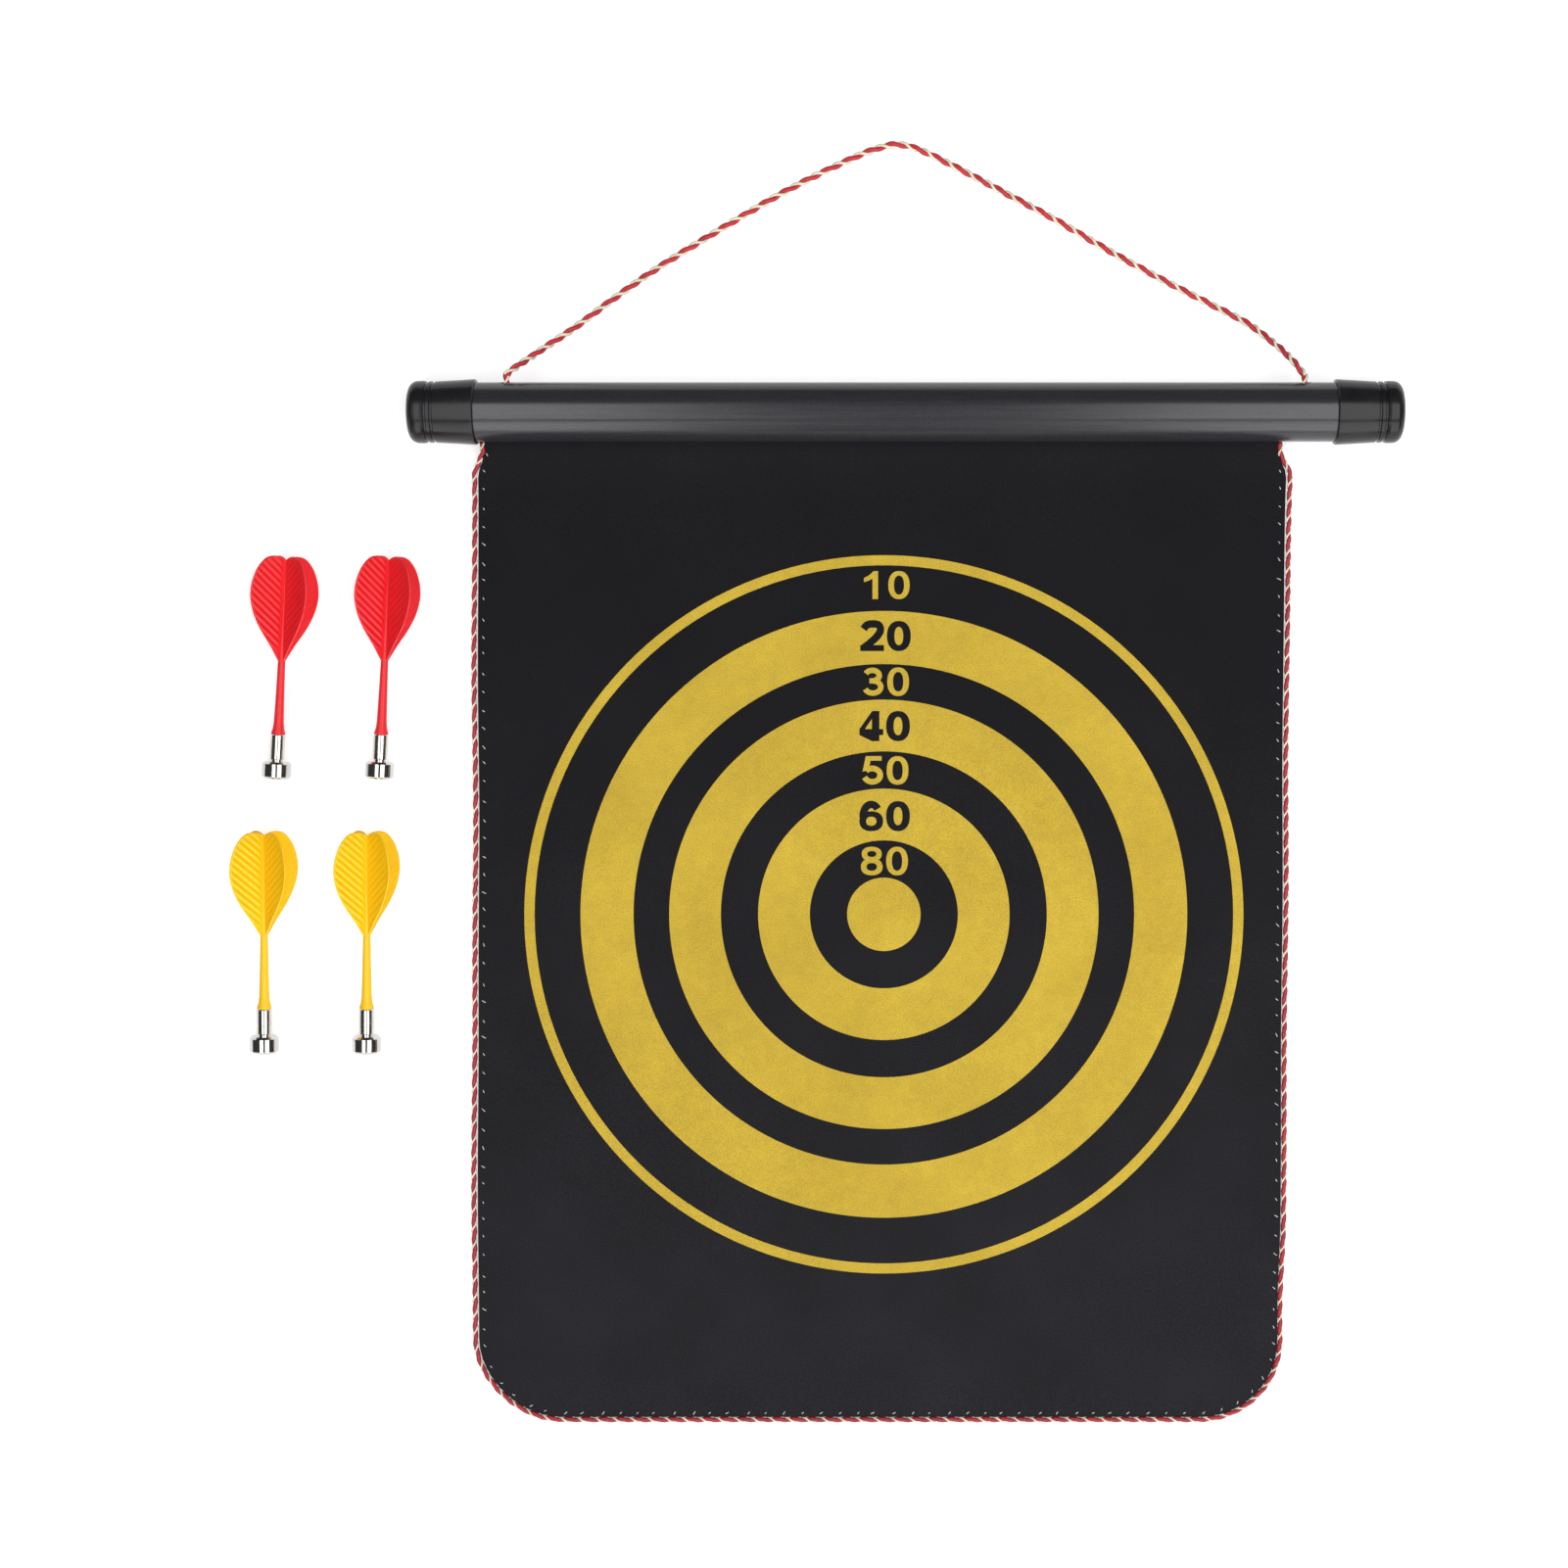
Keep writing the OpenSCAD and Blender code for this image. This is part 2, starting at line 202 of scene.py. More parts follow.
def twisted_cord(name, route, pitch, plies, steps=14, sides=16):
    """A cord laid right-handed from plies: (radius, distance from the middle, phase, material)."""
    centre, s = resample(route, pitch / steps)
    _, side, up = frames(centre)
    verts, faces, uv, owner, start = [], [], [], [], 0
    for number, (radius, out, ply_phase, _) in enumerate(plies):
        turn = 2 * math.pi * s / pitch + ply_phase
        wobble = 1 + 0.03 * np.sin(s * 911 + number) + 0.02 * np.sin(s * 2203)
        middle = centre + out * (np.cos(turn)[:, None] * side + np.sin(turn)[:, None] * up)
        v, f, q = tube_mesh(middle, radius * wobble, sides, lobes=6, lobe_depth=0.09,
                            lobe_pitch=-pitch * 0.6, along=s)
        verts.append(v)
        faces += [tuple(i + start for i in face) for face in f]
        uv.append(q)
        owner += [number] * len(f)
        start += len(v)
    return make_mesh(name, np.concatenate(verts), faces, [p[3] for p in plies], owner,
                     uv=np.concatenate(uv))


def inside(loops, q):
    """True where a point lies inside an odd number of the loops."""
    odd = np.zeros(len(q), bool)
    for loop in loops:
        a, b = np.asarray(loop, float), np.roll(np.asarray(loop, float), -1, axis=0)
        for (ax, ay), (bx, by) in zip(a, b):
            crosses = (ay > q[:, 1]) != (by > q[:, 1])
            if by != ay:
                odd ^= crosses & (q[:, 0] < (bx - ax) * (q[:, 1] - ay) / (by - ay) + ax)
    return odd


def flat_piece(name, loops, grid, low, high, material, shapes=()):
    """A closed piece of sheet inside the loops, holes included, between two heights above the mat's back.

    The shapes drawn over it, each a list of loops, swap sheet for gap and gap for sheet."""
    def filled(q):
        drawn = np.zeros(len(q), bool)
        for shape in shapes:
            drawn |= inside(shape, q)
        return inside(loops, q) ^ drawn

    outlines = list(loops) + [loop for shape in shapes for loop in shape]
    points = np.concatenate([np.asarray(loop, float) for loop in outlines])
    edges, start = [], 0
    for loop in outlines:
        n = len(loop)
        edges += [(start + i, start + (i + 1) % n) for i in range(n)]
        start += n
    low_xy, high_xy = points.min(0), points.max(0)
    xs = np.arange(low_xy[0] + grid / 2, high_xy[0], grid)
    ys = np.arange(low_xy[1] + grid / 2, high_xy[1], grid)
    if len(xs) and len(ys):
        net = np.stack(np.meshgrid(xs, ys), -1).reshape(-1, 2)
        net = net[filled(net)]
        points = np.concatenate([points, net])
    scale = 1000.0
    v, _, f, *_ = geometry.delaunay_2d_cdt([Vector(p * scale) for p in points], edges, [], 0, 1e-4)
    v = np.array([tuple(p) for p in v]) / scale
    f = np.array([t for t in f if len(t) == 3])
    f = f[filled(v[f].mean(1))]
    used = np.unique(f)
    index = np.full(len(v), -1)
    index[used] = np.arange(len(used))
    v, f = v[used], index[f]
    side = np.cross(v[f[:, 1]] - v[f[:, 0]], v[f[:, 2]] - v[f[:, 0]])
    f[side < 0] = f[side < 0][:, ::-1]
    directed = {(a, b) for t in f for a, b in ((t[0], t[1]), (t[1], t[2]), (t[2], t[0]))}
    open_edges = [(a, b) for a, b in directed if (b, a) not in directed]
    n = len(v)
    top, bottom = mat_points(v[:, 0], v[:, 1], high), mat_points(v[:, 0], v[:, 1], low)
    faces = [tuple(t) for t in f] + [tuple(t[::-1] + n) for t in f]
    faces += [(a, a + n, b + n, b) for a, b in sorted(open_edges)]
    piece = make_mesh(name, np.concatenate([top, bottom]), faces, [material])
    piece.data.set_sharp_from_angle(angle=math.radians(40))
    return piece


def circle_loop(r, count):
    """Points round a circle about the bull."""
    a = np.linspace(0, 2 * math.pi, count, endpoint=False)
    return np.stack([r * np.cos(a), r * np.sin(a)], -1)


def mat_loop(inset, top, step=3 * MM):
    """The mat's outline, drawn in by an inset, anticlockwise from its top left corner."""
    left, right, bottom = MAT_CX - MAT_HALF + inset, MAT_CX + MAT_HALF - inset, MAT_BOTTOM + inset
    r = CORNER_R - inset
    turn = np.linspace(0, math.pi / 2, 13)
    corner = [(left, top), (left, bottom + r)]
    corner += [(left + r - r * math.cos(a), bottom + r - r * math.sin(a)) for a in turn[1:]]
    corner += [(right - r, bottom)]
    corner += [(right - r + r * math.sin(a), bottom + r - r * math.cos(a)) for a in turn[1:]]
    corner += [(right, top)]
    out = []
    for a, b in zip(corner, corner[1:] + corner[:1]):
        a, b = np.array(a), np.array(b)
        count = max(1, int(round(np.linalg.norm(b - a) / step)))
        out += [a + (b - a) * k / count for k in range(count)]
    return np.array(out)


def arc_line(cx, cy, rx, ry, start, end, count=20):
    """Points along part of an ellipse, between two angles in degrees."""
    a = np.radians(np.linspace(start, end, count))
    return np.stack([cx + rx * np.cos(a), cy + ry * np.sin(a)], -1)


def oval_ring(cx, cy, rx, ry, thick, count=44):
    """A slightly squared oval ring: its outer and inner outlines."""
    a = np.linspace(0, 2 * math.pi, count, endpoint=False)
    c, s = np.cos(a), np.sin(a)
    unit = np.stack([np.sign(c) * np.abs(c) ** 0.88, np.sign(s) * np.abs(s) ** 0.88], -1)
    middle = np.array([cx, cy])
    return [middle + unit * (rx, ry), middle + unit * (rx - thick, ry - 0.8 * thick)]


def stroke(points, thick):
    """The outline of a line drawn with a square-ended pen."""
    p = np.asarray(points, float)
    way = np.gradient(p, axis=0)
    way /= np.linalg.norm(way, axis=1)[:, None]
    square = np.stack([-way[:, 1], way[:, 0]], -1) * thick / 2
    return [np.concatenate([p + square, (p - square)[::-1]])]


def box_shape(x0, y0, x1, y1):
    return [np.array([(x0, y0), (x1, y0), (x1, y1), (x0, y1)], float)]


def bend_line(points, steps=6):
    return catmull([(x, y, 0) for x, y in points], steps)[:, :2]


def digit_shapes(digit, w, t):
    """A plain bold digit of height 1, width w and stroke t: shapes that overlap, each a list of loops."""
    h, level, waist = t / 2, 0.8 * t, 0.53
    if digit == "0":
        return [oval_ring(w / 2, 0.5, w / 2, 0.5, t)]
    if digit == "1":
        left = 0.42 * w
        return [[np.array([(left, 0), (left + t, 0), (left + t, 1), (left + 0.2 * t, 1),
                           (0.28 * w, 0.86), (0.02 * w, 0.75), (0.02 * w, 0.6), (0.24 * w, 0.66),
                           (left, 0.73)])]]
    if digit == "2":
        line = [(0.9 * h, 0.73), (0.28 * w, 0.86), (0.5 * w, 1 - 0.8 * h), (0.76 * w, 0.87),
                (w - 0.95 * h, 0.71), (0.74 * w, 0.52), (0.46 * w, 0.3), (0.9 * h, level / 2)]
        return [stroke(bend_line(line), t), box_shape(0, 0, w, level)]
    if digit == "3":
        top, bottom = (1 - h + waist) / 2, (h + waist) / 2
        return [stroke(arc_line(0.48 * w, top, 0.45 * w - h, top - waist, 158, -90), 0.95 * t),
                stroke(arc_line(0.5 * w, bottom, 0.5 * w - h, waist - bottom, 90, -160), 0.95 * t),
                box_shape(0.34 * w, waist - 0.45 * t, 0.52 * w, waist + 0.45 * t)]
    if digit == "4":
        right, base = 0.84 * w, 0.2
        lean = np.array([right - t, 1 - base - level])
        step = 0.8 * t / np.linalg.norm(lean)
        low_left = (step * lean[1], base + level)
        slope = lean[1] / lean[0]
        outer = np.array([(right - t, 0), (right, 0), (right, base), (w, base), (w, base + level),
                          (right, base + level), (right, 1), (right - 0.95 * t, 1), (0, base + level),
                          (0, base)])
        hole = np.array([(low_left[0] + 0.02, base + level), (right - t, base + level),
                         (right - t, base + level + slope * (right - t - low_left[0] - 0.02))])
        return [[outer, hole]]
    if digit == "5":
        bowl = arc_line(0.5 * w, 0.335, 0.5 * w - h, 0.335 - h, 140, -162)
        stem = np.array([(0.2 * w, 1), (0.2 * w + t, 1), (0.34 * w, 0.56), (0.3 * w, 0.5),
                         (0.05 * w, 0.46)])
        return [stroke(bowl, t), [stem], box_shape(0.21 * w, 1 - level, 0.93 * w, 1)]
    if digit == "6":
        tail = arc_line(0.5 * w, 0.5, 0.5 * w - h, 0.5 - 0.9 * h, 38, 188)
        return [oval_ring(0.5 * w, 0.33, 0.5 * w, 0.33, 0.9 * t), stroke(tail, t)]
    return [oval_ring(0.5 * w, 0.745, 0.46 * w, 0.255, 0.95 * t),
            oval_ring(0.5 * w, 0.295, 0.5 * w, 0.295, t)]


def number_shapes(text, height, middle, w, t, spacing=0.885):
    """The shapes of a number, set about its middle."""
    shapes = []
    for k, digit in enumerate(text):
        corner = np.array([(k - (len(text) - 1) / 2) * spacing - w / 2, -0.5])
        shapes += [[(loop + corner) * height + middle for loop in shape]
                   for shape in digit_shapes(digit, w, t)]
    return shapes


# ---------------------------------------------------------------- materials

class Nodes:
    """Builds one material: a Principled shader and the texture nodes that feed it."""

    def __init__(self, name, colour, roughness=0.5, metallic=0.0, **shader):
        self.material = bpy.data.materials.new(name)
        self.material.use_nodes = True
        self.tree = self.material.node_tree
        self.shader = self.tree.nodes["Principled BSDF"]
        self.set("Base Color", (*colour, 1))
        self.set("Roughness", roughness)
        self.set("Metallic", metallic)
        for key, value in shader.items():
            self.set(key.replace("_", " "), value)
        self.coordinates = None

    def set(self, socket, value):
        self.shader.inputs[socket].default_value = value

    def node(self, kind, **settings):
        made = self.tree.nodes.new(kind)
        for key, value in settings.items():
            if key in made.inputs:
                made.inputs[key].default_value = value
            else:
                setattr(made, key, value)
        return made

    def link(self, a, b):
        self.tree.links.new(a, b)

    def place(self, scale=(1, 1, 1), turn=0.0):
        """Object coordinates, stretched and turned about Z."""
        if self.coordinates is None:
            self.coordinates = self.node("ShaderNodeTexCoord")
        mapping = self.node("ShaderNodeMapping")
        mapping.inputs["Scale"].default_value = scale
        mapping.inputs["Rotation"].default_value = (0, 0, turn)
        self.link(self.coordinates.outputs["Object"], mapping.inputs["Vector"])
        return mapping.outputs["Vector"]

    def strand(self, scale, turn=0.0):
        """Distance along a strand and turn round it, stretched and turned."""
        uv = self.node("ShaderNodeUVMap", uv_map="strand")
        mapping = self.node("ShaderNodeMapping")
        mapping.inputs["Scale"].default_value = scale
        mapping.inputs["Rotation"].default_value = (0, 0, turn)
        self.link(uv.outputs["UV"], mapping.inputs["Vector"])
        return mapping.outputs["Vector"]

    def noise(self, vector, scale, detail=3.0, rough=0.5):
        made = self.node("ShaderNodeTexNoise", Scale=scale, Detail=detail, Roughness=rough)
        self.link(vector, made.inputs["Vector"])
        return made.outputs["Fac"]

    def ramp(self, factor, low, high, dark, light):
        made = self.node("ShaderNodeValToRGB")
        made.color_ramp.elements[0].position = low
        made.color_ramp.elements[0].color = (*dark, 1)
        made.color_ramp.elements[1].position = high
        made.color_ramp.elements[1].color = (*light, 1)
        self.link(factor, made.inputs["Fac"])
        return made.outputs["Color"]

    def mix(self, factor, a, b, kind="MIX"):
        made = self.node("ShaderNodeMix", data_type="RGBA", blend_type=kind)
        for key, value in (("Factor", factor), ("A", a), ("B", b)):
            socket = made.inputs[key]
            if isinstance(value, (int, float)):
                socket.default_value = value
            elif isinstance(value, tuple):
                socket.default_value = (*value, 1)
            else:
                self.link(value, socket)
        return made.outputs["Result"]

    def range(self, factor, low, high, to_low, to_high):
        made = self.node("ShaderNodeMapRange")
        for key, value in (("From Min", low), ("From Max", high), ("To Min", to_low), ("To Max", to_high)):
            made.inputs[key].default_value = value
        self.link(factor, made.inputs["Value"])
        return made.outputs["Result"]

    def edge(self, low, high, amount):
        """How far the surface turns from the viewer, as a share of an amount."""
        facing = self.node("ShaderNodeLayerWeight", Blend=0.5).outputs["Facing"]
        return self.range(facing, low, high, 0, amount)

    def colour(self, socket):
        self.link(socket, self.shader.inputs["Base Color"])

    def roughness(self, socket):
        self.link(socket, self.shader.inputs["Roughness"])

    def bump(self, height, strength, distance):
        made = self.node("ShaderNodeBump", Strength=strength, Distance=distance)
        self.link(height, made.inputs["Height"])
        previous = self.shader.inputs["Normal"].links
        if previous:
            self.link(previous[0].from_socket, made.inputs["Normal"])
        self.link(made.outputs["Normal"], self.shader.inputs["Normal"])


def flock_material():
    """Short black pile: fine speckle, patches where it leans, and painted shade: a deeper black towards the
    tube, lighter towards the bottom.
    """
    m = Nodes("black_flock", (0.016, 0.016, 0.018), 0.92, Sheen_Weight=0.08, Sheen_Roughness=0.55,
              Sheen_Tint=(0.8, 0.8, 0.86, 1), Specular_IOR_Level=0.2)
    fine = m.noise(m.place(), 2600, 2, 0.6)
    patches = m.noise(m.place(), 22, 3, 0.55)
    speckle = m.ramp(fine, 0.36, 0.72, (0.007, 0.0066, 0.0085), (0.02, 0.019, 0.0235))
    broad = m.ramp(patches, 0.3, 0.7, (0.8, 0.8, 0.8), (1.14, 1.14, 1.14))
    tone = m.mix(1.0, speckle, broad, "MULTIPLY")
    split = m.node("ShaderNodeSeparateXYZ")
    m.link(m.place(), split.inputs["Vector"])
    # Painted shade (the lean factor): the cloth gets darker towards the tube and lighter towards the bottom
    # of the mat.
    lean = m.range(split.outputs["Y"], -0.15, 0.1, 1, 0)
    m.colour(m.mix(1.0, tone, m.mix(lean, (0.48, 0.48, 0.48), (1.15, 1.15, 1.15)), "MULTIPLY"))
    m.bump(fine, 0.35, 0.15 * MM)
    m.bump(m.noise(m.place(), 420, 2), 0.12, 0.2 * MM)
    return m.material


def gold_material():
    """Matte gold ink that the cloth's pile breaks up: speckled, patchy, a little worn."""
    m = Nodes("gold_print", (0.66, 0.46, 0.045), 0.78, Specular_IOR_Level=0.25, Sheen_Weight=0.08,
              Sheen_Roughness=0.5)
    fine = m.noise(m.place(), 1900, 3, 0.65)
    middle = m.noise(m.place(), 240, 3, 0.6)
    broad = m.noise(m.place(), 24, 3, 0.5)
    grain = m.ramp(fine, 0.3, 0.68, (0.44, 0.302, 0.027), (0.66, 0.47, 0.05))
    patches = m.mix(m.range(broad, 0.35, 0.65, 0.0, 1.0), (0.93, 0.92, 0.86), (1.06, 1.06, 1.04))
    cloudy = m.mix(m.range(middle, 0.3, 0.7, 0.0, 1.0), (0.93, 0.92, 0.9), (1.05, 1.05, 1.06))
    m.colour(m.mix(1.0, m.mix(1.0, grain, patches, "MULTIPLY"), cloudy, "MULTIPLY"))
    m.roughness(m.range(middle, 0.3, 0.7, 0.7, 0.86))
    m.bump(fine, 0.3, 0.12 * MM)
    return m.material


def tube_material():
    """Drawn dark grey plastic: satin, fine-grained, with faint lines along it."""
    m = Nodes("tube_plastic", (0.03, 0.03, 0.034), 0.24, Specular_IOR_Level=0.5)
    lines = m.noise(m.place((12, 620, 620)), 5, 3, 0.65)
    long_lines = m.noise(m.place((1.5, 160, 160)), 5, 2, 0.5)
    grain = m.noise(m.place(), 1500, 3, 0.6)
    tone = m.mix(m.range(lines, 0.35, 0.65, 0, 1), (0.023, 0.0225, 0.027), (0.032, 0.0315, 0.037))
    m.colour(m.mix(1.0, tone, m.ramp(grain, 0.3, 0.7, (0.85, 0.85, 0.85), (1.15, 1.15, 1.15)), "MULTIPLY"))
    m.roughness(m.range(long_lines, 0.3, 0.7, 0.18, 0.25))
    m.bump(lines, 0.08, 0.1 * MM)
    m.bump(grain, 0.2, 0.06 * MM)
    return m.material


def cap_material():
    m = Nodes("cap_plastic", (0.012, 0.012, 0.014), 0.26, Specular_IOR_Level=0.24)
    grain = m.noise(m.place(), 900, 3, 0.6)
    smears = m.noise(m.place(), 90, 3, 0.6)
    m.colour(m.mix(m.range(smears, 0.3, 0.7, 0, 1), (0.009, 0.009, 0.0105), (0.017, 0.017, 0.019)))
    m.roughness(m.range(smears, 0.3, 0.7, 0.16, 0.28))
    m.bump(grain, 0.08, 0.08 * MM)
    return m.material


def yarn_material(name, dark, light, sheen):
    """A ply of fine filaments: streaks along it, and painted shade that darkens it where it turns from the
    view, down between its strands.
    """
    m = Nodes(name, light, 0.45, Specular_IOR_Level=0.45, Sheen_Weight=sheen, Sheen_Roughness=0.4,
              Anisotropic=0.3)
    streaks = m.noise(m.strand((180, 5, 1), 0.2), 6, 3, 0.6)
    patches = m.noise(m.place(), 160, 2)
    body = m.mix(m.range(streaks, 0.32, 0.68, 0, 1), dark, light)
    body = m.mix(1.0, body, m.ramp(patches, 0.3, 0.7, (0.85, 0.85, 0.85), (1.08, 1.08, 1.08)), "MULTIPLY")
    # Painted shade: the ply gets darker where its surface turns from the view, at its edges and between the
    # strands.
    m.colour(m.mix(m.edge(0.2, 0.62, 0.92), body, tuple(0.4 * c for c in dark)))
    m.bump(streaks, 0.5, 0.08 * MM)
    return m.material


def moulding_material(name, colour, deep):
    """Injection-moulded plastic: a soft gloss, slightly uneven, and painted shade that darkens it where its
    surface turns from the view.
    """
    m = Nodes(name, colour, 0.38, Specular_IOR_Level=0.4, Subsurface_Weight=0.12,
              Subsurface_Radius=(1.0, 0.4, 0.2), Subsurface_Scale=0.8 * MM)
    flow = m.noise(m.place((1, 0.4, 1)), 130, 3, 0.55)
    grain = m.noise(m.place(), 1300, 2, 0.6)
    body = m.mix(m.range(flow, 0.3, 0.7, 0, 1), deep, colour)
    # Painted shade: darker where the surface turns from the view, at the sides of the stem and the edges of
    # the vanes.
    m.colour(m.mix(m.edge(0.42, 0.85, 0.85), body, tuple(0.5 * c for c in deep)))
    m.roughness(m.range(flow, 0.3, 0.7, 0.34, 0.46))
    m.bump(grain, 0.08, 0.08 * MM)
    return m.material


def nickel_material(name, colour, rough):
    """Bright nickel plate with faint turning marks and a few dull patches."""
    m = Nodes(name, colour, rough, 1.0)
    marks = m.noise(m.place((1, 14, 1)), 260, 3, 0.6)
    dull = m.noise(m.place(), 120, 4, 0.6)
    m.colour(m.mix(m.range(dull, 0.35, 0.7, 0, 1), colour, tuple(0.86 * c for c in colour)))
    m.roughness(m.range(dull, 0.35, 0.75, rough * 0.7, rough * 1.8))
    m.bump(marks, 0.06, 0.05 * MM)
    return m.material


def sheet_material():
    """The steel-filled core: dark grey rubber with a dull metallic fleck."""
    m = Nodes("magnetic_sheet", (0.05, 0.05, 0.055), 0.6)
    fleck = m.noise(m.place(), 2200, 2)
    m.colour(m.ramp(fleck, 0.4, 0.75, (0.035, 0.035, 0.04), (0.12, 0.12, 0.125)))
    m.bump(fleck, 0.1, 0.05 * MM)
    return m.material


def rod_material():
    m = Nodes("steel_rod", (0.6, 0.6, 0.61), 0.3, 1.0)
    drawn = m.noise(m.place((2, 300, 300)), 5, 3)
    m.colour(m.mix(m.range(drawn, 0.3, 0.7, 0, 1), (0.5, 0.5, 0.51), (0.66, 0.66, 0.67)))
    m.roughness(m.range(drawn, 0.3, 0.7, 0.22, 0.42))
    m.bump(drawn, 0.1, 0.05 * MM)
    return m.material


def thread_material():
    m = Nodes("pale_thread", (0.6, 0.6, 0.58), 0.6, Sheen_Weight=0.2, Sheen_Roughness=0.4)
    twist = m.noise(m.strand((900, 3, 1), 0.5), 4, 2)
    m.colour(m.mix(m.range(twist, 0.3, 0.7, 0, 1), (0.42, 0.42, 0.4), (0.76, 0.76, 0.73)))
    m.bump(twist, 0.4, 0.05 * MM)
    return m.material


FLOCK = flock_material()
GOLD = gold_material()
TUBE_PLASTIC = tube_material()
CAP_PLASTIC = cap_material()
RED_YARN = yarn_material("red_yarn", (0.42, 0.006, 0.014), (0.76, 0.03, 0.045), 0.04)
CREAM_YARN = yarn_material("cream_yarn", (0.8, 0.68, 0.44), (0.98, 0.93, 0.8), 0.04)
EDGE_YARN = yarn_material("red_edge_yarn", (0.2, 0.004, 0.012), (0.6, 0.03, 0.05), 0.04)
RED_PLASTIC = moulding_material("red_plastic", (0.85, 0.021, 0.029), (0.78, 0.015, 0.022))
YELLOW_PLASTIC = moulding_material("yellow_plastic", (0.99, 0.6, 0.006), (0.96, 0.56, 0.004))
BARREL_NICKEL = nickel_material("nickel_barrel", (0.66, 0.63, 0.58), 0.16)
MAGNET_NICKEL = nickel_material("nickel_magnet", (0.62, 0.61, 0.6), 0.1)
MAGNETIC_SHEET = sheet_material()
ROD_STEEL = rod_material()
THREAD = thread_material()


# ---------------------------------------------------------------- camera

CAMERA_HEIGHT = 1.0
VIEW_WIDTH = 0.5764
VIEW_MIDDLE = Vector((-0.0367, 0.0479, 0))
CAMERA_X = 0.0081

camera_data = bpy.data.cameras.new("camera")
camera_data.sensor_width = 36
camera_data.lens = camera_data.sensor_width * CAMERA_HEIGHT / VIEW_WIDTH
camera_data.shift_x = (VIEW_MIDDLE.x - CAMERA_X) / VIEW_WIDTH
camera_data.clip_start = 0.01
camera = bpy.data.objects.new("camera", camera_data)
camera.location = (CAMERA_X, VIEW_MIDDLE.y, CAMERA_HEIGHT + MAT_TOP)
bpy.context.scene.collection.objects.link(camera)
bpy.context.scene.camera = camera


# ---------------------------------------------------------------- the hanger cord and its knots

HANGER_PITCH = 8.6 * MM
HANGER_ROUTE = [
    (-135.8, 197.4, 14.4), (-132.8, 200, 12.8), (-128.2, 204, 9), (-121.6, 209.4, 5.2),
    (-113.6, 215.4, 2.4),
    (-99, 226.5, 1.4), (-84, 237, 1.4), (-69, 246.4, 1.4), (-54, 255.4, 1.4), (-39, 264.2, 1.4),
    (-24, 272, 1.4), (-10, 278.6, 1.4), (-2, 281.6, 1.4), (4.5, 283, 1.4), (11, 281.8, 1.4),
    (19, 278.4, 1.4), (32, 271.8, 1.4), (46, 264.4, 1.4), (60, 257, 1.4), (74, 249, 1.4),
    (88, 241, 1.4), (103, 233, 1.4), (119, 224.8, 1.4), (133, 217.4, 2.4),
    (139.6, 212, 5.2), (145.4, 206.2, 9), (149.4, 201, 12.8), (151.8, 197.4, 14.4),
]
HOLE_TILT = math.radians(12.5)
HOLE_OUT = Vector((0, math.cos(HOLE_TILT), math.sin(HOLE_TILT)))
HOLE_MOUTH_R = TUBE_R + 2.5 * MM


def hanger_plies(scale=1.0):
    return [(0.84 * MM * scale, 0.47 * MM * scale, 0.0, RED_YARN),
            (0.53 * MM * scale, 0.81 * MM * scale, math.pi, CREAM_YARN)]


def hole_point(side, out):
    """A point on the line of a cord hole, some way out from the tube's axis."""
    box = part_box("cord_knot_left" if side < 0 else "cord_knot_right")
    return Vector(((box[0].x + box[1].x) / 2, TUBE_Y, TUBE_Z)) + HOLE_OUT * out


def make_hanger():
    ends = [hole_point(side, HOLE_MOUTH_R) for side in (-1, 1)]
    route = [ends[0]] + [Vector(p) * MM for p in HANGER_ROUTE] + [ends[1]]
    path = catmull(route, 6)
    piece = twisted_cord("hanger_cord_twisted", path, HANGER_PITCH, hanger_plies(), steps=18, sides=18)
    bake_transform(piece)
    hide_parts("hanger_cord")
    return piece


def make_knot(side, name, node):
    """An overhand knot inside the tube, and the cord that runs from it out through the hole."""
    knot_r = 2.0 * MM
    centre = hole_point(side, TUBE_R - 4.5 * MM)
    across = Vector((1, 0, 0))
    up = HOLE_OUT.cross(across)
    points = []
    for k in range(25):
        a = 2 * math.pi * k / 24
        radius = knot_r * (0.62 + 0.3 * math.cos(1.5 * a))
        points.append(centre + across * (radius * math.cos(a)) + up * (radius * math.sin(a))
                      + HOLE_OUT * (0.7 * MM * math.sin(1.5 * a)))
    points += [centre + HOLE_OUT * (2.2 * MM), centre + HOLE_OUT * (3.4 * MM),
               hole_point(side, HOLE_MOUTH_R - 1 * MM), hole_point(side, HOLE_MOUTH_R + 0.3 * MM)]
    piece = twisted_cord(name, catmull(points, 5), HANGER_PITCH * 0.8, hanger_plies(0.95),
                         steps=12, sides=12)
    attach(piece, "hanging_tube")
    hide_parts(node)
    return piece


make_hanger()
make_knot(-1, "cord_knot_left_twisted", "cord_knot_left")
make_knot(1, "cord_knot_right_twisted", "cord_knot_right")


# ---------------------------------------------------------------- the mat


CLOTH_TOP_S = BEND_END + START_FROM_SLOT + 0.5 * MM


def make_cloth(name, node, low, high):
    """One of the mat's two cloths, bent where it comes out of the slot."""
    piece = flat_piece(name, [mat_loop(0, CLOTH_TOP_S)], 4.5 * MM, low, high, FLOCK)
    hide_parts(node)
    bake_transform(piece)
    return piece


HEM_STEPS = 160
HEM_HALF_T = 0.27 * MM
HEM_LAYER_GAP = 0.31 * MM
HEM_TAIL_OUT = TUBE_R + 0.4 * MM


